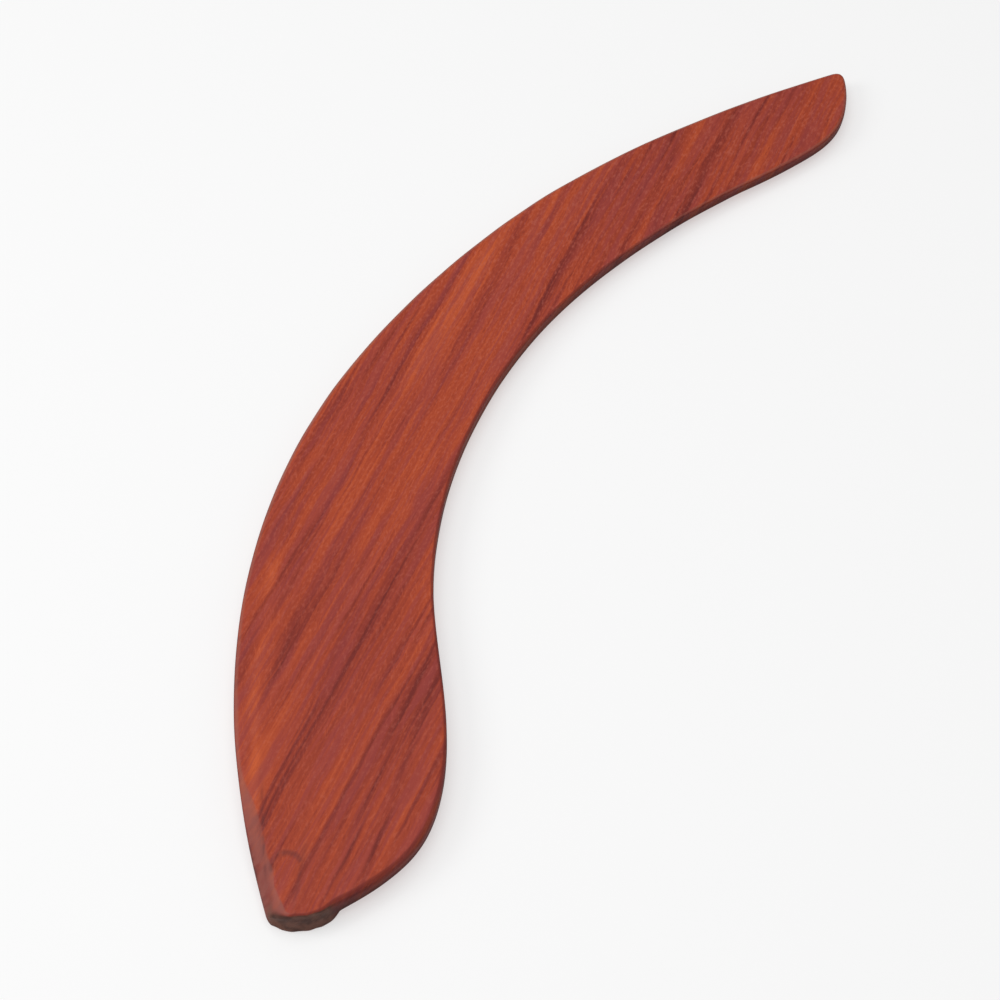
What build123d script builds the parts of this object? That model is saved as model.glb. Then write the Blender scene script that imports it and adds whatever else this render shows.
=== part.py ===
from build123d import *
import os

# A throwing stick of the boomerang family, carved from one straight-grained board.
#
# Frame: X runs along the chord, from the toe of the head (-X) to the tip of the grip (+X).
# Y points out of the bend, towards the convex edge. Z is up, from the back to the face.
# The outline is drawn from the chord line and centred at the end, so that the origin is
# under the middle of the stick. It lies on the flat planed along the crown of its back.

# Driving dimensions, in millimetres.
half_span = 225.0
toe_thickness = 12.8
tip_thickness = 9.0
face_round = 1.5  # rounding all round the face
toe_corner = 3.0
tip_corner = 3.9
saw_spare = 1.0  # how far the blank stands above the face before the face is cut

# The back is an elliptical crown, a little planed off so that the stick doesn't rock.
crown_depth_toe = 8.8  # half height of the ellipse
crown_depth_tip = 7.6
side_margin = 2.0  # how far the ellipse runs past the side wall
planed = 0.5
tip_rise = 3.6  # how far the back turns up at the very tip
tip_rise_start = 190.0
form_top = 20.0  # how far the form of the back reaches above its ellipse

# The toe keeps its full depth in a round pad, where the carving of the back stops.
pad_centre = (-215.0, -0.5)
pad_radius = 14.0
pad_flat = 9.0  # radius of the pad's flat middle, inside its rounded rim

# The outer edge of the outline runs from the toe to the tip.
outer_points = [
    (-222.4, 8.8),
    (-176.4, 48.8),
    (-121.0, 80.6),
    (-65.5, 98.1),
    (-15.0, 102.8),
    (45.3, 96.4),
    (105.9, 79.0),
    (167.0, 47.8),
    (232.9, -0.7),
]
# The inner edge runs back from the tip, round the heel of the grip, to the toe.
inner_points = [
    (232.9, -0.7),
    (215.8, -10.4),
    (202.0, -12.6),
    (182.0, -6.6),
    (145.0, 13.8),
    (97.0, 34.9),
    (50.5, 46.3),
    (10.0, 47.7),
    (-35.3, 40.5),
    (-80.5, 21.6),
    (-122.8, -6.9),
    (-149.5, -20.7),
    (-173.7, -25.0),
    (-194.1, -19.7),
    (-208.8, -11.1),
]
toe_bulge = (-219.6, -3.0)

# Where the sections of the back stand along the chord, and past each end one section
# as (x, middle y, half width), where the outline has already closed.
section_xs = [-206, -180, -150, -110, -65, -15, 40, 95, 145, 185, 205, 218]
past_toe = (-234, 1.0, 5.0)
past_tip = (239, -5.0, 3.0)


def lerp(toe_value, tip_value, x):
    """A value that changes evenly from the toe to the tip."""
    share = (x + half_span) / (2 * half_span)
    return toe_value + (tip_value - toe_value) * share


def edge_y(plan_edge, x):
    """Y at which a plan edge crosses the line at x."""
    ruler = Plane(origin=(x, 0, 0), z_dir=(1, 0, 0))
    return plan_edge.edge().intersect(ruler)[0].Y


def crown_lift(x):
    """How far the crown of the back is lifted off the ground at x."""
    run = max(0.0, x - tip_rise_start) / (half_span - tip_rise_start)
    return tip_rise * run**2


with BuildLine() as outer_edge:
    Spline(*outer_points)

with BuildLine() as inner_edge:
    Spline(*inner_points)

stations = [past_toe]
for x in section_xs:
    high = edge_y(outer_edge, x)
    low = edge_y(inner_edge, x)
    stations.append((x, (high + low) / 2, (high - low) / 2))
stations.append(past_tip)

# The form that shapes the back: a loft of D sections, wider than the outline.
with BuildPart() as back_form:
    for x, middle_y, half_width in stations:
        half = half_width + side_margin
        depth = lerp(crown_depth_toe, crown_depth_tip, x)
        centre = (x, middle_y, crown_lift(x) - planed + depth)
        with BuildSketch(Plane(origin=centre, x_dir=(0, 1, 0), z_dir=(1, 0, 0))):
            with BuildLine():
                EllipticalCenterArc((0, 0), half, depth, 180, arc_size=180)
                Polyline((half, 0), (half, form_top), (-half, form_top), (-half, 0))
            make_face()
    loft()
    pad_depth = lerp(crown_depth_toe, crown_depth_tip, pad_centre[0])
    pad_origin = (*pad_centre, pad_depth - planed)
    with BuildSketch(Plane(origin=pad_origin, x_dir=(1, 0, 0), z_dir=(0, -1, 0))):
        with BuildLine():
            Line((0, -pad_depth), (pad_flat, -pad_depth))
            EllipticalCenterArc((pad_flat, 0), pad_radius - pad_flat, pad_depth, 270, arc_size=90)
            Polyline((pad_radius, 0), (pad_radius, form_top), (0, form_top), (0, -pad_depth))
        make_face()
    revolve(axis=Axis(pad_origin, (0, 0, 1)))

with BuildPart() as body:
    with BuildSketch() as plan:
        with BuildLine():
            add(outer_edge.line)
            add(inner_edge.line)
            ThreePointArc(inner_points[-1], toe_bulge, outer_points[0])
        make_face()
        fillet(plan.vertices().sort_by(Axis.X)[0], toe_corner)
        fillet(plan.vertices().sort_by(Axis.X)[-1], tip_corner)
    extrude(amount=toe_thickness + saw_spare)
    face_slope = (tip_thickness - toe_thickness) / (2 * half_span)
    face_middle = (0, 0, (toe_thickness + tip_thickness) / 2)
    split(bisect_by=Plane(origin=face_middle, z_dir=(-face_slope, 0, 1)), keep=Keep.BOTTOM)
    fillet(body.faces().sort_by(Axis.Z)[-1].edges(), face_round)
    add(back_form.part, mode=Mode.INTERSECT)

box_centre = body.part.bounding_box().center()
body.part.move(Location((-box_centre.X, -box_centre.Y, 0)))
body.part.label = "body"

os.makedirs("parts", exist_ok=True)
export_step(body.part, "parts/body.step")
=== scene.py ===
from math import cos, pi, radians, sin
from types import SimpleNamespace

import bpy
import numpy as np
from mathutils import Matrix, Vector, noise


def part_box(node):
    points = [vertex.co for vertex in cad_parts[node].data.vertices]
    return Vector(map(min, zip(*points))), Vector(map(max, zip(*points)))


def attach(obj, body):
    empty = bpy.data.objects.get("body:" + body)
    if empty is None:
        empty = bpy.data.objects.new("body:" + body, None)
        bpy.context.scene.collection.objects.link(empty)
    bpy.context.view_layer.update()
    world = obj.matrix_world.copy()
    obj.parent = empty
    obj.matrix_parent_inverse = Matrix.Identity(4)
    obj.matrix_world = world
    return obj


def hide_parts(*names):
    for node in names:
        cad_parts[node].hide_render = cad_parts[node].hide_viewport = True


# A throwing stick carved from one board of reddish-brown hardwood, lying face up.
# X runs from the toe of the head to the tip of the grip, Y out of the bend, Z up.
# Lengths are in millimetres until a mesh, a light or the camera is made.

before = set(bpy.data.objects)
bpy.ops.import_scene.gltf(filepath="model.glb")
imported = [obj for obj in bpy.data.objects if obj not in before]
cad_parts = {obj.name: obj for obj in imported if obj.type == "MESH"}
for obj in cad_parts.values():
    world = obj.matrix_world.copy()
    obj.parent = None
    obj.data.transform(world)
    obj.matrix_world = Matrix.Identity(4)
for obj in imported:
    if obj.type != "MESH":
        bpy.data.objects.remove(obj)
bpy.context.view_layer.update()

MM = 0.001

# The outline and the section, as the CAD body has them, along and from the chord line.
HALF_SPAN = 225.0
TOE_THICKNESS = 12.8
TIP_THICKNESS = 9.0
OUTER_POINTS = [
    (-222.4, 8.8),
    (-176.4, 48.8),
    (-121.0, 80.6),
    (-65.5, 98.1),
    (-15.0, 102.8),
    (45.3, 96.4),
    (105.9, 79.0),
    (167.0, 47.8),
    (232.9, -0.7),
]
INNER_POINTS = [
    (232.9, -0.7),
    (215.8, -10.4),
    (202.0, -12.6),
    (182.0, -6.6),
    (145.0, 13.8),
    (97.0, 34.9),
    (50.5, 46.3),
    (10.0, 47.7),
    (-35.3, 40.5),
    (-80.5, 21.6),
    (-122.8, -6.9),
    (-149.5, -20.7),
    (-173.7, -25.0),
    (-194.1, -19.7),
    (-208.8, -11.1),
]
TOE_BULGE = (-219.6, -3.0)
CROWN_DEPTH_TOE = 8.8
CROWN_DEPTH_TIP = 7.6
SIDE_MARGIN = 2.0
PLANED = 0.5
TIP_RISE = 3.6
TIP_RISE_START = 190.0
SECTION_XS = [-206, -180, -150, -110, -65, -15, 40, 95, 145, 185, 205, 218]
PAST_TOE = (-234, 1.0, 5.0)
PAST_TIP = (239, -5.0, 3.0)
PAD_CENTRE = (-215.0, -0.5)
PAD_RADIUS = 14.0
PAD_FLAT = 9.0

# How the surfaces of the back meet each other and the floor.
PAD_WALL_SLOPE = 30.0  # how steeply the pad's surface goes on past its rim
PAD_BLEND = 0.4
LOWEST = 0.02  # the back stays this far above the floor
LOWEST_BLEND = 0.1

# The facet worn at the toe's outer corner. Its inner border runs from point to point, and
# beyond that the face falls by this much for each millimetre.
CORNER_CUT_START = (-221.9, 0.9)
CORNER_CUT_END = (-206.9, 19.9)
CORNER_CUT_SLOPE = 1.05
CORNER_CUT_BLEND = 1.3

# How far each corner of the outline is rounded along both its sides: tip, inner toe, outer toe.
CORNER_REACH = [5.0, 2.5, 2.6]
OUTLINE_STEP = 0.25  # the spacing of the outline's points

# How many columns the mesh has along each part of the outline, and rows over each surface.
SIDE_STEPS = 560
TIP_STEPS = 70
TOE_STEPS = 64
FACE_ROWS = 19
RIM_ROWS = 7
WALL_ROWS = 7
ARRIS_ROWS = 4
BACK_ROWS = 19

# Where the long sides begin and end, measured along the outline from its corners.
OUTER_FROM_TOE = 22.0
OUTER_FROM_TIP = 23.0
INNER_FROM_TIP = 35.0
INNER_FROM_TOE = 9.0
DIRECTION_STEP = 0.6  # how far to each side the outline's direction is taken from

INSIDE = 0.04  # how far the carved surface lies inside the CAD outline on average
ARRIS_REACH = 0.9  # how far the lower edge is rounded, up the wall and along the back
LEAST_SLANT = 0.5  # keeps a row's inset short where its column runs nearly along the rim

# A wide easing of the rim is nearly a flat bevel, and a narrow one is round.
BEVEL_WIDTHS = (2.8, 5.5)
BEVEL_FLATNESS = 0.8

# Traces of hand work: their depth, the size of their bumps along X, Y and Z, and a seed.
# The noise seldom passes 0.6 either way, so its gain brings it to about 1.
NOISE_GAIN = 1.6
SEED_STEP = 17.3
FACE_SWELL = (0.16, (70, 38, 1), 1)
FACE_RIPPLE = (0.05, (34, 9, 1), 2)
BACK_FACETS = (0.2, (85, 6.5, 1), 3)  # from where the crown stands off the floor
EDGE_WAVER = (0.12, (26, 26, 1), 4)
TOE_CHIPS = (0.4, (4, 4, 1), 5)
RIM_WEAR = (0.14, (18, 18, 1), 6)  # a share of the easing
WALL_MARKS = (0.2, (5.5, 5.5, 7), 7)
TOE_ROUGHNESS = (0.7, (3.2, 3.2, 3.2), 8)

# The rough-cut end of the toe fades out between two distances from its middle.
ROUGH_END_CENTRE = np.array([-219.0, -1.5])
ROUGH_END_FADE = (9, 14)

# The back's facets grow to their full depth between two heights.
FACETS_FADE = (0, 2)


# ---------------------------------------------------------------- curves in the plan


def smooth_curve(points, steps=60):
    """A dense run of points on the smooth curve through a few points."""
    points = np.array(points, float)
    spans = np.linalg.norm(np.diff(points, axis=0), axis=1)
    slopes = np.diff(points, axis=0) / spans[:, None]
    count = len(points)
    matrix = np.eye(count)
    target = np.zeros(points.shape)
    matrix[0, 1] = matrix[-1, -2] = 1
    target[0] = 2 * slopes[0]
    target[-1] = 2 * slopes[-1]
    for i in range(1, count - 1):
        matrix[i, i - 1 : i + 2] = spans[i], 2 * (spans[i - 1] + spans[i]), spans[i - 1]
        target[i] = 3 * (spans[i] * slopes[i - 1] + spans[i - 1] * slopes[i])
    tangents = np.linalg.solve(matrix, target)
    t = np.linspace(0, 1, steps, endpoint=False)[:, None]
    runs = []
    for i in range(count - 1):
        run = (2 * t**3 - 3 * t**2 + 1) * points[i]
        run += (3 * t**2 - 2 * t**3) * points[i + 1]
        run += (t**3 - 2 * t**2 + t) * tangents[i] * spans[i]
        run += (t**3 - t**2) * tangents[i + 1] * spans[i]
        runs.append(run)
    runs.append(points[-1:])
    return np.concatenate(runs)


def lengths_along(line):
    """How far along a line each of its points is."""
    return np.concatenate([[0], np.cumsum(np.linalg.norm(np.diff(line, axis=0), axis=1))])


def at_lengths(line, lengths):
    """The points of a line at the lengths given."""
    own = lengths_along(line)
    return np.stack([np.interp(lengths, own, line[:, 0]), np.interp(lengths, own, line[:, 1])], 1)


def soft_corner(start, corner, end, steps=24):
    """A short curve from start to end that is pulled towards the corner."""
    t = np.linspace(0, 1, steps + 1)[1:-1, None]
    return (1 - t) ** 2 * start + 2 * t * (1 - t) * corner + t**2 * end


def outline():
    """The closed outline, from the outer toe corner over the tip and back, and its sides' lengths."""
    toe_points = [INNER_POINTS[-1], TOE_BULGE, OUTER_POINTS[0]]
    sides = [smooth_curve(OUTER_POINTS), smooth_curve(INNER_POINTS), smooth_curve(toe_points)]
    totals = [lengths_along(side)[-1] for side in sides]
    runs = []
    for i, side in enumerate(sides):
        after = (i + 1) % len(sides)
        start, end = CORNER_REACH[i - 1], totals[i] - CORNER_REACH[i]
        run = at_lengths(side, np.arange(start, end, OUTLINE_STEP))
        next_start = at_lengths(sides[after], [CORNER_REACH[i]])
        runs.append(run)
        runs.append(soft_corner(run[-1], side[-1], next_start[0]))
    loop = np.concatenate(runs)
    return np.concatenate([loop, loop[:1]]), totals


def soft_steps(keys, values, positions, period):
    """Values that change smoothly from key to key round a closed loop."""
    order = np.argsort(keys)
    keys, values = keys[order], values[order]
    keys = np.concatenate([keys - period, keys, keys + period])
    values = np.tile(values, 3)
    index = np.searchsorted(keys, positions, side="right") - 1
    share = (positions - keys[index]) / (keys[index + 1] - keys[index])
    share = share * share * (3 - 2 * share)
    return values[index] * (1 - share) + values[index + 1] * share


# ---------------------------------------------------------------- heights


def lerp(toe_value, tip_value, x):
    """A value that changes evenly from the toe to the tip."""
    share = (x + HALF_SPAN) / (2 * HALF_SPAN)
    return toe_value + (tip_value - toe_value) * share


def soft_min(a, b, blend):
    return (a + b - np.sqrt((a - b) ** 2 + blend**2)) / 2


def soft_max(a, b, blend):
    return (a + b + np.sqrt((a - b) ** 2 + blend**2)) / 2


def smooth_share(value, low, high):
    """0 below low, 1 above high and smooth between them."""
    share = np.clip((value - low) / (high - low), 0, 1)
    return share * share * (3 - 2 * share)


def swing(points, trace):
    """A trace of hand work at points, up and down by up to about its depth."""
    depth, sizes, seed = trace
    scaled = np.asarray(points) / np.array(sizes) + seed * SEED_STEP
    return depth * NOISE_GAIN * np.array([noise.noise(Vector(p)) for p in scaled])


def sunk(points, trace):
    """A trace of hand work at points, sunk into the wood by up to about its depth."""
    return (trace[0] + swing(points, trace)) / 2


def with_z(plan, z=0.0):
    return np.column_stack([plan, np.broadcast_to(z, len(plan))])


def back_sections():
    """The middle line and the half width of the back along X, as a dense run of points."""
    outer, inner = smooth_curve(OUTER_POINTS), smooth_curve(INNER_POINTS)
    stations = [PAST_TOE]
    for x in SECTION_XS:
        high = np.interp(x, outer[:, 0], outer[:, 1])
        low = np.interp(-x, -inner[:, 0], inner[:, 1])
        stations.append((x, (high + low) / 2, (high - low) / 2))
    stations.append(PAST_TIP)
    return smooth_curve(stations)


SECTIONS = back_sections()


def corner_cut(plan):
    """How far the face is cut down at the toe's outer corner."""
    line = np.array(CORNER_CUT_END) - CORNER_CUT_START
    line = line / np.linalg.norm(line)
    offset = plan - CORNER_CUT_START
    beyond = offset[:, 1] * line[0] - offset[:, 0] * line[1]
    return CORNER_CUT_SLOPE * soft_max(beyond, 0, CORNER_CUT_BLEND)


def face_height(plan):
    """Height of the sanded face: a tapered plane that is a little uneven by hand work."""
    flat = lerp(TOE_THICKNESS, TIP_THICKNESS, plan[:, 0])
    uneven = sunk(with_z(plan), FACE_SWELL) + sunk(with_z(plan), FACE_RIPPLE)
    return flat - INSIDE - uneven - corner_cut(plan)


def pad_height(plan):
    """Height of the deep pad at the toe: flat in the middle, rounded, and steep past its rim."""
    depth = lerp(CROWN_DEPTH_TOE, CROWN_DEPTH_TIP, PAD_CENTRE[0])
    from_centre = np.hypot(plan[:, 0] - PAD_CENTRE[0], plan[:, 1] - PAD_CENTRE[1])
    share = np.maximum(0, from_centre - PAD_FLAT) / (PAD_RADIUS - PAD_FLAT)
    rounded = depth * (1 - np.sqrt(1 - np.clip(share, 0, 1) ** 2)) - PLANED
    return rounded + PAD_WALL_SLOPE * np.maximum(0, share - 1)


def back_height(plan):
    """Height of the back: a crown planed flat where it rests, and the deep pad at the toe."""
    x, y = plan[:, 0], plan[:, 1]
    middle = np.interp(x, SECTIONS[:, 0], SECTIONS[:, 1])
    half = np.interp(x, SECTIONS[:, 0], SECTIONS[:, 2]) + SIDE_MARGIN
    depth = lerp(CROWN_DEPTH_TOE, CROWN_DEPTH_TIP, x)
    lift = TIP_RISE * (np.maximum(0, x - TIP_RISE_START) / (HALF_SPAN - TIP_RISE_START)) ** 2
    share = np.clip((y - middle) / half, -1, 1)
    crown = lift - PLANED + depth * (1 - np.sqrt(1 - share**2))
    crown = crown + swing(with_z(plan), BACK_FACETS) * smooth_share(crown, *FACETS_FADE)
    back = soft_min(crown, pad_height(plan), PAD_BLEND)
    return soft_max(back, LOWEST, LOWEST_BLEND)


# ---------------------------------------------------------------- the mesh


def column_positions(totals, whole):
    """How far round the outline each column of the mesh starts, matched on the long sides."""
    outer_end, inner_end = totals[0], totals[0] + totals[1]
    marks = [
        OUTER_FROM_TOE,
        outer_end - OUTER_FROM_TIP,
        outer_end + INNER_FROM_TIP,
        inner_end - INNER_FROM_TOE,
        whole + OUTER_FROM_TOE,
    ]
    counts = [SIDE_STEPS, TIP_STEPS, SIDE_STEPS, TOE_STEPS]
    runs = [np.linspace(a, b, n, endpoint=False) for a, b, n in zip(marks, marks[1:], counts)]
    return np.concatenate(runs) % whole


def inward_directions(loop, positions, whole):
    """The direction into the wood, square to the outline, at each position."""
    ahead = at_lengths(loop, (positions + DIRECTION_STEP) % whole)
    behind = at_lengths(loop, (positions - DIRECTION_STEP) % whole)
    run = ahead - behind
    inward = np.column_stack([run[:, 1], -run[:, 0]])
    return inward / np.linalg.norm(inward, axis=1)[:, None]


def spine_between_sides(rim):
    """The line midway between the two long sides, and the point of it that each column meets."""
    inner_start = SIDE_STEPS + TIP_STEPS
    outer_side = rim[: SIDE_STEPS + 1]
    inner_side = rim[inner_start : inner_start + SIDE_STEPS + 1]
    spine = (outer_side + inner_side[::-1]) / 2
    outer_numbers = np.arange(SIDE_STEPS)
    at_tip = np.full(TIP_STEPS, SIDE_STEPS)
    inner_numbers = SIDE_STEPS - np.arange(SIDE_STEPS)
    at_toe = np.zeros(TOE_STEPS, int)
    return spine, np.concatenate([outer_numbers, at_tip, inner_numbers, at_toe])


def rim_easing(positions, totals, whole):
    """How wide and how deep the face's rim is eased at each position round the outline."""
    outer_end, inner_end = totals[0], totals[0] + totals[1]
    # Each row is a position, a width and a depth.
    table = np.array(
        [
            (0, 3.6, 1.8),
            (14, 6.6, 3.0),
            (30, 7.0, 2.8),
            (60, 3.4, 1.7),
            (150, 2.6, 1.6),
            (outer_end - 40, 2.2, 1.5),
            (outer_end, 1.6, 1.3),
            (outer_end + 30, 1.5, 1.2),
            (outer_end + 120, 1.3, 1.1),
            (inner_end - 90, 1.5, 1.4),
            (inner_end - 40, 2.4, 3.0),
            (inner_end - 8, 2.4, 3.2),
            (inner_end + 3, 1.4, 1.2),
            (inner_end + 11, 1.3, 1.4),
            (whole - 6, 1.8, 1.5),
        ]
    )
    places, widths, depths = table.T
    width = soft_steps(places, widths, positions, whole)
    return width, soft_steps(places, depths, positions, whole)


class Columns:
    """The mesh's columns, which run from the rim to the spine, over the face and over the back."""

    def __init__(self, rim, inward, target):
        self.rim = rim
        self.target = target
        reach = np.linalg.norm(target - rim, axis=1)
        self.towards = (target - rim) / reach[:, None]
        self.slant = np.clip((self.towards * inward).sum(1), LEAST_SLANT, 1)

    def inset(self, distance):
        """The points that are a distance inside the rim."""
        return self.rim + self.towards * (distance / self.slant)[:, None]

    def to_spine(self, distance, share):
        """The points a share of the way from those to the spine."""
        start = self.inset(distance)
        return start + (self.target - start) * share


def face_rows(columns, ease_width):
    """Rows from beside the spine out over the face."""
    rows = []
    for row in range(FACE_ROWS, 0, -1):
        plan = columns.to_spine(ease_width, row / (FACE_ROWS + 1))
        rows.append(with_z(plan, face_height(plan)))
    return rows


def rim_rows(columns, ease_width, ease_depth):
    """Rows over the eased rim of the face, down to the top of the wall."""
    bevelled = BEVEL_FLATNESS * smooth_share(ease_width, *BEVEL_WIDTHS)
    rows = []
    for row in range(RIM_ROWS + 1):
        straight = 1 - row / RIM_ROWS
        angle = pi / 2 * straight
        along = (1 - cos(angle)) * (1 - bevelled) + straight * bevelled
        down = (1 - sin(angle)) * (1 - bevelled) + (1 - straight) * bevelled
        plan = columns.inset(ease_width * along)
        rows.append(with_z(plan, face_height(plan) - ease_depth * down))
    return rows


def wall_rows(columns, top, foot, rough_end):
    """Rows down the wall, which has small tool marks and is rough at the toe's end."""
    rows = []
    for row in range(1, WALL_ROWS):
        share = row / WALL_ROWS
        z = top + (foot + ARRIS_REACH - top) * share
        places = with_z(columns.rim, z)
        marks = sunk(places, WALL_MARKS) + rough_end * sunk(places, TOE_ROUGHNESS)
        rows.append(with_z(columns.inset(marks * sin(pi * share)), z))
    return rows


def back_rows(columns, foot):
    """Rows round the lower arris, then over the back to beside the spine."""
    reach = np.full(len(columns.rim), ARRIS_REACH)
    start = back_height(columns.inset(reach))
    rows = []
    for row in range(ARRIS_ROWS + 1):
        t = row / ARRIS_ROWS
        z = (1 - t) ** 2 * (foot + ARRIS_REACH) + 2 * t * (1 - t) * foot + t * t * start
        rows.append(with_z(columns.inset(reach * t * t), z))
    for row in range(1, BACK_ROWS + 1):
        plan = columns.to_spine(reach, row / (BACK_ROWS + 1))
        rows.append(with_z(plan, back_height(plan)))
    return rows


def stitched_faces(row_count, spine_index, spine_count):
    """Faces that join each row to the next, and the first and last rows to their spines."""
    count = len(spine_index)
    faces = []
    for row in range(row_count - 1):
        start = row * count
        for i in range(count):
            j = (i + 1) % count
            faces.append((start + i, start + j, start + count + j, start + count + i))
    face_spine = row_count * count
    last_row = face_spine - count
    back_spine = face_spine + spine_count
    for first_row, spine_start, flip in ((0, face_spine, True), (last_row, back_spine, False)):
        for i in range(count):
            j = (i + 1) % count
            face = [first_row + i, first_row + j, spine_start + spine_index[j]]
            if spine_index[i] != spine_index[j]:
                face.append(spine_start + spine_index[i])
            faces.append(tuple(face[::-1] if flip else face))
    return faces


def carved_body():
    """The whole stick as one closed mesh of rows that run round the outline."""
    loop, totals = outline()
    whole = lengths_along(loop)[-1]
    positions = column_positions(totals, whole)
    rim = at_lengths(loop, positions)
    inward = inward_directions(loop, positions, whole)
    spine, spine_index = spine_between_sides(rim)

    # The whole edge wavers gently, and the toe's end, which is rough-cut, is chipped as well.
    from_end = np.hypot(*(rim - ROUGH_END_CENTRE).T)
    rough_end = 1 - smooth_share(from_end, *ROUGH_END_FADE)
    chips = rough_end * np.maximum(0, swing(with_z(rim), TOE_CHIPS))
    waver = swing(with_z(rim), EDGE_WAVER)
    rim = rim + inward * (INSIDE + waver + chips)[:, None]

    columns = Columns(rim, inward, spine[spine_index])
    wear = 1 + swing(with_z(rim), RIM_WEAR)
    ease_width, ease_depth = rim_easing(positions, totals, whole)
    ease_width = ease_width * wear
    ease_depth = ease_depth * wear
    foot = back_height(rim)

    rows = face_rows(columns, ease_width)
    rows += rim_rows(columns, ease_width, ease_depth)
    rows += wall_rows(columns, rows[-1][:, 2], foot, rough_end)
    rows += back_rows(columns, foot)
    face_spine = with_z(spine, face_height(spine))
    back_spine = with_z(spine, back_height(spine))
    vertices = np.concatenate(rows + [face_spine, back_spine])
    return vertices, stitched_faces(len(rows), spine_index, len(spine))


def centred(vertices):
    """The vertices moved as the CAD body was, and kept inside its box."""
    loop, _ = outline()
    low, high = (np.array(corner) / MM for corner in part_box("body"))
    shift = (low + high)[:2] / 2 - (loop.min(0) + loop.max(0)) / 2
    return np.clip(vertices + np.array([*shift, 0]), low, high)


def make_body():
    vertices, faces = carved_body()
    mesh = bpy.data.meshes.new("carved_body")
    mesh.from_pydata((centred(vertices) * MM).tolist(), [], faces)
    mesh.validate()
    mesh.shade_smooth()
    body = bpy.data.objects.new("carved_body", mesh)
    bpy.context.scene.collection.objects.link(body)
    return body


# ---------------------------------------------------------------- short ways to make nodes


def linear(screen_colour):
    """A colour as a shader takes it, from screen values of 0 to 255."""
    channels = [c / 255 for c in screen_colour]
    return (*[c / 12.92 if c <= 0.04045 else ((c + 0.055) / 1.055) ** 2.4 for c in channels], 1)


class Graph:
    """Short ways to add nodes to one node tree."""

    def __init__(self, tree):
        self.tree = tree

    def node(self, kind, inputs, **settings):
        node = self.tree.nodes.new(kind)
        for name, value in settings.items():
            setattr(node, name, value)
        for key, value in inputs.items():
            if isinstance(value, bpy.types.NodeSocket):
                self.tree.links.new(value, node.inputs[key])
            else:
                node.inputs[key].default_value = value
        return node

    def math(self, operation, *values):
        inputs = dict(enumerate(values))
        return self.node("ShaderNodeMath", inputs, operation=operation).outputs[0]

    def times(self, first, second):
        return self.math("MULTIPLY", first, second)

    def plus(self, base, value, weight):
        """The base with a value added to it, times a weight."""
        return self.math("MULTIPLY_ADD", value, weight, base)

    def vary(self, base, value, weight):
        """The base with a noise around 0.5 added to it as a swing around 0, times a weight."""
        return self.plus(self.math("SUBTRACT", base, weight / 2), value, weight)

    def remap(self, value, low, high, to_low=0.0, to_high=1.0, kind="SMOOTHSTEP", clamp=True):
        """A value that goes from to_low at low to to_high at high; low may be the larger one."""
        inputs = {0: value, 1: low, 2: high, 3: to_low, 4: to_high}
        settings = {"interpolation_type": kind, "clamp": clamp}
        return self.node("ShaderNodeMapRange", inputs, **settings).outputs[0]

    def ramp(self, value, stops):
        """A colour that changes evenly from stop to stop, each a place from 0 to 1 and a colour."""
        node = self.node("ShaderNodeValToRGB", {0: value})
        elements = node.color_ramp.elements
        while len(elements) < len(stops):
            elements.new(0.5)
        for element, (place, colour) in zip(elements, stops):
            element.position = place
            element.color = linear(colour)
        return node.outputs[0]

    def mix(self, share, first, second, blend="MIX"):
        inputs = {0: share, 6: first, 7: second}
        settings = {"data_type": "RGBA", "blend_type": blend}
        return self.node("ShaderNodeMix", inputs, **settings).outputs[2]

    def group(self, tree, inputs):
        """A node group, whose inputs are given by name."""
        return self.node("ShaderNodeGroup", inputs, node_tree=tree)

    def layer(self, place, kind):
        """Noise whose features are drawn out along the grain, from its row in a table."""
        along, across, depth = place
        length, width, seed, detail, roughness = kind
        inputs = {
            0: self.math("MULTIPLY_ADD", along, 1 / length, seed),
            1: self.times(across, 1 / width),
            2: self.times(depth, 1 / (FEATURE_DEPTH * width)),
        }
        vector = self.node("ShaderNodeCombineXYZ", inputs).outputs[0]
        inputs = {"Vector": vector, "Scale": 1.0, "Detail": detail, "Roughness": roughness}
        return self.node("ShaderNodeTexNoise", inputs).outputs[0]

    def distance(self, along, across, point):
        """The distance in the plan from a point."""
        place = self.node("ShaderNodeCombineXYZ", {0: along, 1: across}).outputs[0]
        inputs = {0: place, 1: (*point, 0)}
        return self.node("ShaderNodeVectorMath", inputs, operation="DISTANCE").outputs["Value"]


# ---------------------------------------------------------------- the wood

# From here on, places are in millimetres from the frame's own origin.

# Where the head and the grip begin along the stick, each as a span that it blends over.
HEAD_BEGINS = (-60, -100)
GRIP_BEGINS = (60, 150)

# How far the surface faces up, from 1 on the face to 0 on the wall, where one meets the next.
FACE_TO_RIM = (0.985, 0.9)
WALL_TO_RIM = (0.5, 0.75)
FACE_TO_WALL = (0.9, 0.3)

# The board's growth layers lean: this far across for each millimetre of height, from here.
LEAN = 0.45
LEAN_FROM = 11.0

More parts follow.
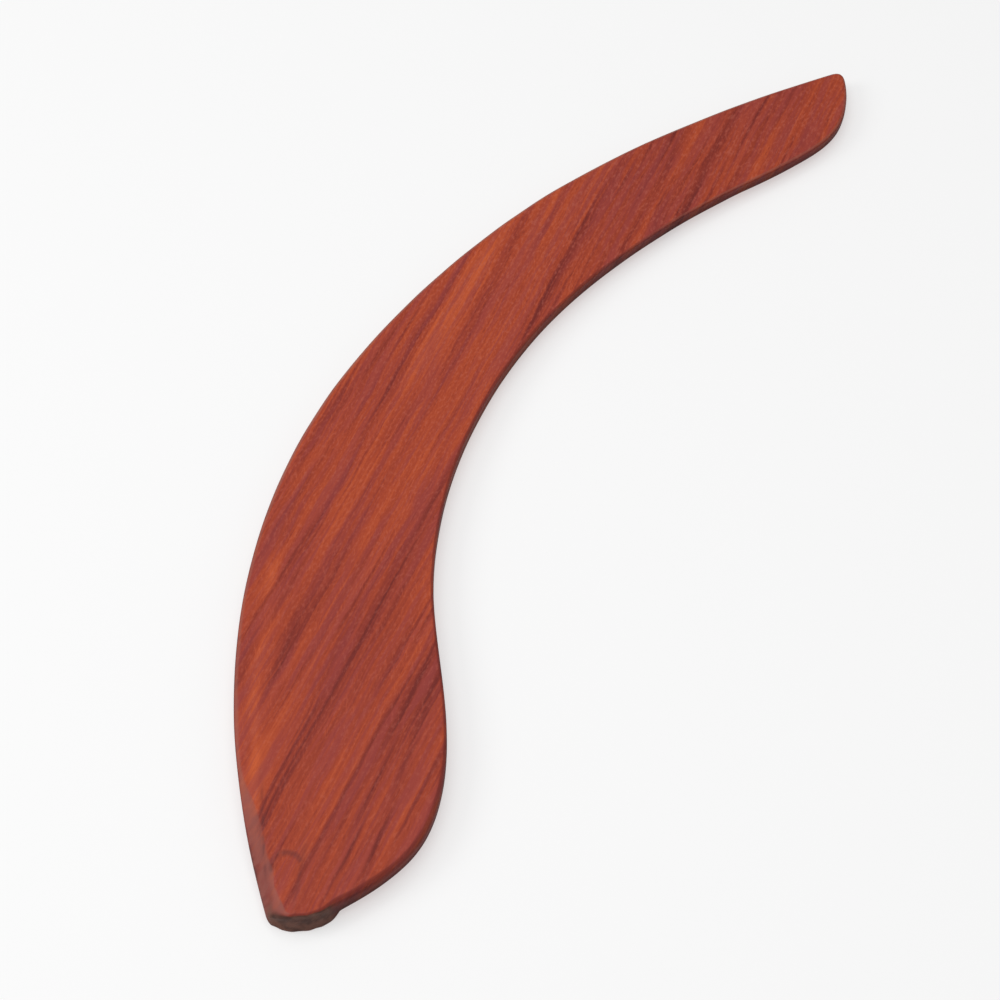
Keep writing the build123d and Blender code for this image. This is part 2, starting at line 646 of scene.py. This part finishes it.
# The layers of the grain, as noise: the length and width of their features in millimetres, a
# seed, and the noise's detail and roughness. The features are a few times as deep as wide.
FEATURE_DEPTH = 3
GRAIN = {
    "patches": (90, 22, 8.7, 2.0, 0.5),
    "bands": (240, 5.0, 3.1, 3.0, 0.65),
    "lines": (110, 2.0, 1.9, 2.0, 0.55),
    "dashes": (80, 2.2, 6.1, 1.0, 0.5),
    "fibres": (20, 0.6, 5.2, 2.0, 0.6),
    "pores": (5, 0.5, 7.7, 1.0, 0.5),
    "flecks": (1.8, 0.9, 9.3, 2.0, 0.5),
    "mauve": (60, 3.4, 4.4, 3.0, 0.65),
    "blotches": (9, 3.5, 2.8, 2.0, 0.5),
}
BAND_RANGE = (0.3, 0.7)  # the values that the noise of the bands mostly has
SCRAPES = (5, 0.6, 3.7, 1.0, 0.5)
SCRAPE_TURN = (0.83, 0.55)  # cosine and sine of the angle between a scrape and the grain
# How much painted glint the scrapes take.
SCRAPE_GLINT = 0.08

# The grain wanders across the board in long and in short waves, and climbs towards the tip.
WANDER = (48, 16, 2.3, 1.0, 0.5)
WANDER_SWING = 2.4
WAVER = (13, 7, 6.6, 1.0, 0.5)
WAVER_SWING = 1.2
CLIMB = 0.08

# How much each layer lightens the wood, or darkens it if the weight is below 0.
WEIGHTS = {
    "bands": 0.8,
    "lines": 0.55,
    "dashes": -0.28,
    "fibres": 0.3,
    "pores": -0.14,
    "flecks": 0.42,
    "patches": 0.34,
    "light": 0.6,
    "streaks": -0.6,
    "scrapes": 0.12,
}

# The tone that the head and the rest start from, and how much darker the arm is past its
# long streak, at the bend and at the tip.
HEAD_TONE = 0.54
ARM_TONE = 0.68
PAST_STREAK = (-0.13, -0.09)

# How strong the growth bands are on the head, and the finest marks at the toe and on the arm.
HEAD_BANDS = 1.4
FINE_MARKS = (0.62, 1.1)

# Colours as a screen shows them, and the wood's from its darkest to its lightest tone.
WOOD_TONES = [
    (0.0, (112, 38, 32)),
    (0.3, (136, 50, 36)),
    (0.6, (163, 65, 38)),
    (1.0, (192, 87, 46)),
]
MAUVE = (144, 59, 57)
# Painted glints: pale specks on the matte surface.
GLINT = (176, 98, 86)
# Painted sheen on the face's outer rim, and painted shade on its inner rim.
RIM_SHEEN = (150, 96, 82)
RIM_SHADE = (112, 44, 38)
# Painted sheen on the facet at the toe's outer corner.
FACET_SHEEN = (138, 74, 65)
SCUFF_DARK = (92, 44, 44)
# The toe's rough end: darker end grain with painted shade, and paler torn wood.
END_GRAIN_SHADE_TONES = [(0.0, (70, 42, 34)), (1.0, (106, 69, 57))]

# The largest share of a colour that is laid over the wood's.
MAUVE_SHARE = 0.58
GLINT_SHARE = 0.26
RIM_SHEEN_SHADE_SHARE = 0.6
FACET_SHEEN_SHARE = 0.78
CURL_SHARE = 0.45

# What the sides' colour is multiplied by for painted shade, at the top and at the foot of the wall.
SIDE_SHADE_HIGH = (0.5, 0.5, 0.6, 1)
SIDE_SHADE_LOW = (0.21, 0.28, 0.37, 1)

# The wood's surface, which is matte: its relief, and how it takes the light.
FIBRE_HEIGHT = 0.5
PORE_DEPTH = 0.8
BUMP_STRENGTH = 0.35
BUMP_DISTANCE = 0.25 * MM
FACE_ROUGHNESS = (0.5, 0.62)
SIDE_DULLNESS = 0.15
OIL_IOR = 1.45
OIL_SHINE = 0.22

# The dark streaks that stand out: from (x, y) to (x, y), half width and strength.
STREAKS = [
    (128, -16, 182, -11, 2.9, 1.25),
    (144, -22, 195, -20, 1.9, 0.6),
    (35, 10, 97, 15, 2.0, 0.65),
    (97, 15, 142, 18.5, 1.8, 0.55),
    (121, -8, 159, 4, 3.0, 0.3),
    (-21, 31, 15, 31, 2.6, 0.5),
    (15, 31, 87, 38, 2.6, 0.5),
    (-25, 44, 44, 50, 2, 0.45),
    (-23, 57, 11, 56, 3.4, 0.45),
    (-141, -7, -42, 4, 3.2, 0.75),
    (-174, 10, -123, 21, 3.2, 0.5),
    (-123, 21, -61, 27, 2.6, 0.55),
    (-61, 27, -21, 30, 2.2, 0.5),
    (-193, -11, -141, -7, 3.4, 0.7),
    (-191, -43, -117, -30, 2.6, 0.55),
    (-193, -52, -121, -37, 2.4, 0.6),
    (-206, -34, -121, -29, 2, 0.35),
    (-111, 36, -86, 37, 2.4, 0.45),
]
STREAK_FADE = 26.0  # the length over which a streak fades past each of its ends

# A streak is a narrow dark core in a broad soft band, each with its reach and its darkness.
STREAK_CORE = (0.7, 0.55)
STREAK_BAND = (2.0, 0.45)

# Where the wood is lighter, in the same terms.
LIGHT_STREAKS = [
    (-180, 3, -150, 21, 5.5, 0.55),
    (-150, 21, -112, 37, 6.0, 0.55),
    (10, 40, 60, 43, 6.0, 0.3),
]

# The long streak that crosses the arm: its slope, and its Y at X = 0.
ARM_STREAK_SLOPE = 0.078
ARM_STREAK_Y = 7.4

# The height of the wall's middle at X = 0, and how it falls along the stick. The painted shade on the
# sides deepens from one height to another, both measured from there.
WALL_MIDDLE = 5.7
WALL_MIDDLE_SLOPE = -0.005
SIDE_SHADE_DEEPENS = (3.4, -1.5)

# Places at the toe for its painted sheen and shade and for its wear, with the scuffs in the same
# terms as the streaks.
TOE_CORNER = (-226, -30)
TOE_END = (-223, -41)
TOE_SCUFFS = [
    (-214, -22, -200, -13, 1.5, 0.5),
    (-213, -35, -208, -33, 2.2, 0.3),
]
CURL_CENTRE = (-209, -28)
CURL_RADIUS = 5.2
TORN_SCALE = 210.0


def streak_group():
    """One dark streak in the grain: a soft line from one point to another."""
    tree = bpy.data.node_groups.new("grain_streak", "ShaderNodeTree")
    for name in ("along", "across", "x0", "y0", "x1", "y1", "width", "strength"):
        tree.interface.new_socket(name, in_out="INPUT", socket_type="NodeSocketFloat")
    tree.interface.new_socket("dark", in_out="OUTPUT", socket_type="NodeSocketFloat")
    g = Graph(tree)
    given = g.node("NodeGroupInput", {}).outputs
    along, x0, x1 = given["along"], given["x0"], given["x1"]
    middle = g.remap(along, x0, x1, given["y0"], given["y1"], "LINEAR", clamp=False)
    offset = g.math("ABSOLUTE", g.math("SUBTRACT", given["across"], middle))
    far = g.math("DIVIDE", offset, given["width"])
    core = g.remap(far, 0.0, *STREAK_CORE, 0.0)
    band = g.remap(far, 0.0, *STREAK_BAND, 0.0)
    line = g.math("ADD", core, band)
    start = g.remap(along, g.math("SUBTRACT", x0, STREAK_FADE), x0)
    end = g.remap(along, x1, g.math("ADD", x1, STREAK_FADE), 1.0, 0.0)
    dark = g.times(g.times(line, g.times(start, end)), given["strength"])
    g.node("NodeGroupOutput", {0: dark})
    return tree


def add_streaks(g, group, table, along, across, width_change):
    """All the streaks of a table together, from 0 where there is none upwards."""
    total = 0.0
    for x0, y0, x1, y1, width, strength in table:
        inputs = {"along": along, "across": across, "x0": x0, "y0": y0, "x1": x1, "y1": y1}
        inputs["width"] = g.times(width_change, width)
        inputs["strength"] = strength
        total = g.math("MAXIMUM", g.group(group, inputs).outputs[0], total)
    return total


def places_in_board(g):
    """Where a point lies in the board, in millimetres, and which way its surface faces there.

    side is measured square to the chord; across follows the grain as it leans and wanders.
    """
    object_place = g.node("ShaderNodeTexCoord", {}).outputs["Object"]
    scale = {0: object_place, 1: (1 / MM, 1 / MM, 1 / MM)}
    scaled = g.node("ShaderNodeVectorMath", scale, operation="MULTIPLY").outputs[0]
    along, side, depth = g.node("ShaderNodeSeparateXYZ", {0: scaled}).outputs
    normal = g.node("ShaderNodeNewGeometry", {}).outputs["Normal"]
    _, outward, up = g.node("ShaderNodeSeparateXYZ", {0: normal}).outputs

    # The growth layers lean, so what is on the face goes on, shifted, down the sides.
    leaning = g.plus(side, g.math("SUBTRACT", depth, LEAN_FROM), LEAN)
    raw = (along, leaning, depth)
    across = g.vary(leaning, g.layer(raw, WANDER), WANDER_SWING)
    across = g.vary(across, g.layer(raw, WAVER), WAVER_SWING)
    grain = (along, g.plus(across, along, -CLIMB), depth)
    return SimpleNamespace(
        object_place=object_place,
        along=along,
        side=side,
        across=across,
        depth=depth,
        grain=grain,
        outward=outward,
        up=up,
    )


def scrape_share(g, at, patches):
    """A few pale scrapes that cross the grain in its darker patches, left by hand work."""
    turn_along, turn_across = SCRAPE_TURN
    along = g.plus(g.times(at.along, turn_along), at.across, turn_across)
    across = g.plus(g.times(at.across, turn_along), at.along, -turn_across)
    scrapes = g.layer((along, across, at.depth), SCRAPES)
    return g.times(g.remap(scrapes, 0.6, 0.74), g.remap(patches, 0.55, 0.4))


def broken_streaks(g, at, layers, group):
    """The dark streaks, broken up by the thin lines."""
    widths = g.remap(layers["bands"], *BAND_RANGE, 0.7, 1.4)
    streaks = add_streaks(g, group, STREAKS, at.along, at.across, widths)
    return g.times(streaks, g.remap(layers["lines"], 0.35, 0.62, 1.15, 0.5))


def broad_tone(g, at, layers, group):
    """How light the wood is before its grain, on a scale from 0 to 1.

    It is brightest in the middle and along the head's outer edge, and it is darker past the
    long streak that crosses the arm.
    """
    tone = g.remap(at.along, -125, -55, HEAD_TONE, ARM_TONE)
    widths = g.remap(layers["bands"], *BAND_RANGE, 1.3, 0.8)
    light = add_streaks(g, group, LIGHT_STREAKS, at.along, at.across, widths)
    tone = g.plus(tone, light, WEIGHTS["light"])
    arm_streak = g.math("MULTIPLY_ADD", at.along, ARM_STREAK_SLOPE, ARM_STREAK_Y)
    past_streak = g.math("SUBTRACT", arm_streak, at.across)
    darker = g.times(g.remap(past_streak, -3, 2), g.remap(at.along, 22, 50))
    tone = g.plus(tone, darker, g.remap(at.along, 120, 175, *PAST_STREAK))
    return g.vary(tone, layers["patches"], WEIGHTS["patches"])


def grain_tone(g, at, layers):
    """What growth bands, thin lines and dark dashes add to the tone."""
    tone = g.vary(0.0, layers["bands"], WEIGHTS["bands"])
    tone = g.times(tone, g.remap(at.along, -100, 20, HEAD_BANDS, 1.0))
    tone = g.vary(tone, layers["lines"], WEIGHTS["lines"])
    return g.plus(tone, g.remap(layers["dashes"], 0.54, 0.72), WEIGHTS["dashes"])


def fine_tone(g, layers, pores, strength):
    """What short fibres, pores and flecks add to the tone."""
    tone = g.vary(0.0, layers["fibres"], WEIGHTS["fibres"])
    tone = g.plus(tone, pores, WEIGHTS["pores"])
    tone = g.vary(tone, layers["flecks"], WEIGHTS["flecks"])
    return g.times(tone, strength)


def oiled_colour(g, at, layers, pores, group):
    """The colour of the wood, with painted glints, before the painted sheen and shade and the scuffs
    are laid on.
    """
    # The finest marks show more on the grip than on the head.
    fine_strength = g.remap(at.along, -180, 80, *FINE_MARKS)
    broken = broken_streaks(g, at, layers, group)
    scraped = scrape_share(g, at, layers["patches"])
    fine = fine_tone(g, layers, pores, fine_strength)
    tone = broad_tone(g, at, layers, group)
    tone = g.math("ADD", tone, g.math("ADD", grain_tone(g, at, layers), fine))
    tone = g.plus(tone, broken, WEIGHTS["streaks"])
    tone = g.plus(tone, scraped, WEIGHTS["scrapes"])
    colour = g.ramp(tone, WOOD_TONES)
    mauve_share = g.remap(layers["mauve"], 0.43, 0.62, 0.0, MAUVE_SHARE)
    mauve_share = g.times(mauve_share, g.remap(broken, 0.0, 0.6, 1.0, 0.3))
    colour = g.mix(mauve_share, colour, linear(MAUVE))

    # Fine pale specks, also along the scrapes, are painted glints on the matte surface.
    glints = g.remap(layers["flecks"], 0.5, 0.72, 0.0, GLINT_SHARE)
    glints = g.times(g.plus(glints, scraped, SCRAPE_GLINT), fine_strength)
    return g.mix(glints, colour, linear(GLINT))


def rim_sheen_and_shade(g, at, colour):
    """The colour with painted sheen, pale grey, on the face's outer rim and the grip's inner rim, and
    painted shade, dark red, on the inner rim elsewhere.
    """
    # The rim is where the surface has left the level of the face but isn't steep yet.
    rim = g.times(g.remap(at.up, *FACE_TO_RIM), g.remap(at.up, *WALL_TO_RIM))
    on_head = g.remap(at.along, *HEAD_BEGINS)
    on_grip = g.remap(at.along, *GRIP_BEGINS)
    outer_rim = g.times(rim, g.remap(at.outward, -0.1, 0.15))
    inner_rim = g.times(rim, g.remap(at.outward, -0.05, -0.25))
    # Painted sheen, strongest on the head's outer rim, and on the grip's inner rim.
    sheen_share = g.times(outer_rim, g.remap(on_head, 0, 1, RIM_SHEEN_SHADE_SHARE, 0.4))
    sheen_share = g.plus(sheen_share, g.times(inner_rim, on_grip), 0.4)
    colour = g.mix(sheen_share, colour, linear(RIM_SHEEN))
    # Painted shade on the inner rim, faint on the grip.
    shade_share = g.times(inner_rim, g.remap(on_grip, 0, 1, RIM_SHEEN_SHADE_SHARE, 0.1))
    return g.mix(shade_share, colour, linear(RIM_SHADE))


def shaded_sides(g, at, side_share, colour):
    """The colour with painted shade on the sides, deeper towards the foot of the wall."""
    wall_middle = g.math("MULTIPLY_ADD", at.along, WALL_MIDDLE_SLOPE, WALL_MIDDLE)
    low_share = g.remap(g.math("SUBTRACT", at.depth, wall_middle), *SIDE_SHADE_DEEPENS)
    side_shade = g.mix(low_share, SIDE_SHADE_HIGH, SIDE_SHADE_LOW)
    return g.mix(side_share, colour, g.mix(1.0, colour, side_shade, "MULTIPLY"))


def facet_sheen(g, at, blotches, colour):
    """The colour with painted sheen, a dull mauve-grey, on the facet at the toe's outer corner."""
    from_corner = g.distance(at.along, at.side, TOE_CORNER)
    tilted = g.times(g.remap(at.up, 0.985, 0.93), g.remap(at.outward, -0.2, 0.1))
    facet = g.times(tilted, g.remap(from_corner, 30, 66, FACET_SHEEN_SHARE, 0.0))
    facet = g.times(facet, g.remap(at.up, -0.1, 0.1))
    facet = g.times(facet, g.remap(blotches, 0.38, 0.6, 0.3, 1.15))
    return g.mix(facet, colour, linear(FACET_SHEEN))


def scuffed_face(g, at, blotches, group, colour):
    """The colour with dark lines near the toe: the facet's inner border, a curl and a smudge."""
    scuffs = add_streaks(g, group, TOE_SCUFFS, at.along, at.side, 1.0)
    from_curl = g.distance(at.along, at.side, CURL_CENTRE)
    ring = g.math("ABSOLUTE", g.math("SUBTRACT", from_curl, CURL_RADIUS))

    # Only the half of the ring on the side of +X and +Y is marked.
    slanting = g.math("ADD", at.along, at.side)
    curl_half = g.remap(slanting, sum(CURL_CENTRE) - 2, sum(CURL_CENTRE) + 1)
    curl = g.times(g.remap(ring, 0.2, 2.0, CURL_SHARE, 0.0), curl_half)
    marks = g.times(g.math("MAXIMUM", scuffs, curl), g.remap(at.up, 0.5, 0.8))
    marks = g.times(marks, g.remap(blotches, 0.4, 0.55, 0.4, 1.1))
    return g.mix(marks, colour, linear(SCUFF_DARK))


def torn_end_with_shade(g, at, colour):
    """The colour with the toe's rough end nearly black: darker end grain with painted shade, and
    paler torn wood in it.
    """
    inputs = {"Vector": at.object_place, "Scale": TORN_SCALE, "Detail": 3.0}
    torn = g.node("ShaderNodeTexNoise", inputs).outputs[0]
    near_end = g.remap(g.distance(at.along, at.side, TOE_END), 10, 14, 1.0, 0.0)
    steep = g.remap(g.math("ABSOLUTE", at.up), 0.75, 0.4)
    end_grain_and_shade = g.ramp(g.remap(torn, 0.3, 0.7), END_GRAIN_SHADE_TONES)
    return g.mix(g.times(steep, near_end), colour, end_grain_and_shade)


def wood_material():
    material = bpy.data.materials.new("oiled_red_hardwood")
    material.use_nodes = True
    tree = material.node_tree
    tree.nodes.clear()
    g = Graph(tree)
    at = places_in_board(g)
    layers = {name: g.layer(at.grain, kind) for name, kind in GRAIN.items()}
    pores = g.remap(layers["pores"], 0.62, 0.74)
    group = streak_group()

    side_share = g.remap(g.math("ABSOLUTE", at.up), *FACE_TO_WALL)
    colour = oiled_colour(g, at, layers, pores, group)
    colour = rim_sheen_and_shade(g, at, colour)
    colour = shaded_sides(g, at, side_share, colour)
    colour = facet_sheen(g, at, layers["blotches"], colour)
    colour = scuffed_face(g, at, layers["blotches"], group, colour)
    colour = torn_end_with_shade(g, at, colour)

    # Fibres stand up a little, pores are sunk, and the sides are duller than the face.
    height = g.plus(g.times(pores, -PORE_DEPTH), layers["fibres"], FIBRE_HEIGHT)
    inputs = {"Height": height, "Strength": BUMP_STRENGTH, "Distance": BUMP_DISTANCE}
    bump = g.node("ShaderNodeBump", inputs)
    rough = g.remap(layers["fibres"], 0.3, 0.75, *FACE_ROUGHNESS)
    principled = {
        "Base Color": colour,
        "Roughness": g.plus(rough, side_share, SIDE_DULLNESS),
        "IOR": OIL_IOR,
        "Specular IOR Level": OIL_SHINE,
        "Normal": bump.outputs[0],
    }
    shader = g.node("ShaderNodeBsdfPrincipled", principled)
    g.node("ShaderNodeOutputMaterial", {0: shader.outputs[0]})
    return material


# ---------------------------------------------------------------- floor, light and camera

FLOOR_REACH = 4.0
FLOOR_GREY = (0.42, 0.42, 0.42, 1)
FLOOR_GLOW = 0.52  # the floor is lit from within, so that it is nearly white

# The camera looks over the toe along the stick, from well above.
CAMERA_AZIMUTH = radians(-61.57)
CAMERA_ELEVATION = radians(55.0)
CAMERA_DISTANCE = 1.135
CAMERA_AIM = (-0.0361, -0.0188, 0.011)
SENSOR_MM = 36
LENS_MM = 108


def make_floor():
    mesh = bpy.data.meshes.new("floor")
    reach = FLOOR_REACH
    corners = [(-reach, -reach, 0), (reach, -reach, 0), (reach, reach, 0), (-reach, reach, 0)]
    mesh.from_pydata(corners, [], [(0, 1, 2, 3)])
    floor = bpy.data.objects.new("floor", mesh)
    bpy.context.scene.collection.objects.link(floor)
    material = bpy.data.materials.new("pale_floor")
    material.use_nodes = True
    shader = material.node_tree.nodes["Principled BSDF"]
    shader.inputs["Base Color"].default_value = FLOOR_GREY
    shader.inputs["Roughness"].default_value = 0.9
    shader.inputs["Specular IOR Level"].default_value = 0.1
    shader.inputs["Emission Color"].default_value = (1, 1, 1, 1)
    shader.inputs["Emission Strength"].default_value = FLOOR_GLOW
    mesh.materials.append(material)
    return floor


def area_light(name, place, size, power):
    """A square soft light that faces the middle of the object."""
    lamp = bpy.data.lights.new(name, "AREA")
    lamp.size = size
    lamp.energy = power
    light = bpy.data.objects.new(name, lamp)
    light.location = place
    light.rotation_euler = Vector(place).to_track_quat("Z", "Y").to_euler()
    bpy.context.scene.collection.objects.link(light)


def make_lights():
    world = bpy.data.worlds.new("studio")
    bpy.context.scene.world = world
    world.use_nodes = True
    background = world.node_tree.nodes["Background"]
    background.inputs["Color"].default_value = (1, 1, 1, 1)
    background.inputs["Strength"].default_value = 0.35
    area_light("overhead", place=(-0.2, 0.1, 1.6), size=1.4, power=16)
    area_light("key_left", place=(-0.9, 1.2, 1.2), size=0.8, power=10)


def make_camera():
    level = cos(CAMERA_ELEVATION)
    east, north = sin(CAMERA_AZIMUTH) * level, -cos(CAMERA_AZIMUTH) * level
    back = Vector((east, north, sin(CAMERA_ELEVATION)))
    data = bpy.data.cameras.new("camera")
    data.sensor_width = SENSOR_MM
    data.lens = LENS_MM
    camera = bpy.data.objects.new("camera", data)
    camera.location = Vector(CAMERA_AIM) + back * CAMERA_DISTANCE
    camera.rotation_euler = back.to_track_quat("Z", "Y").to_euler()
    bpy.context.scene.collection.objects.link(camera)
    bpy.context.scene.camera = camera


make_camera()
make_lights()
make_floor()

body = make_body()
body.data.materials.append(wood_material())
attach(body, "root")
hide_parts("body")

bpy.context.scene.view_settings.view_transform = "Standard"
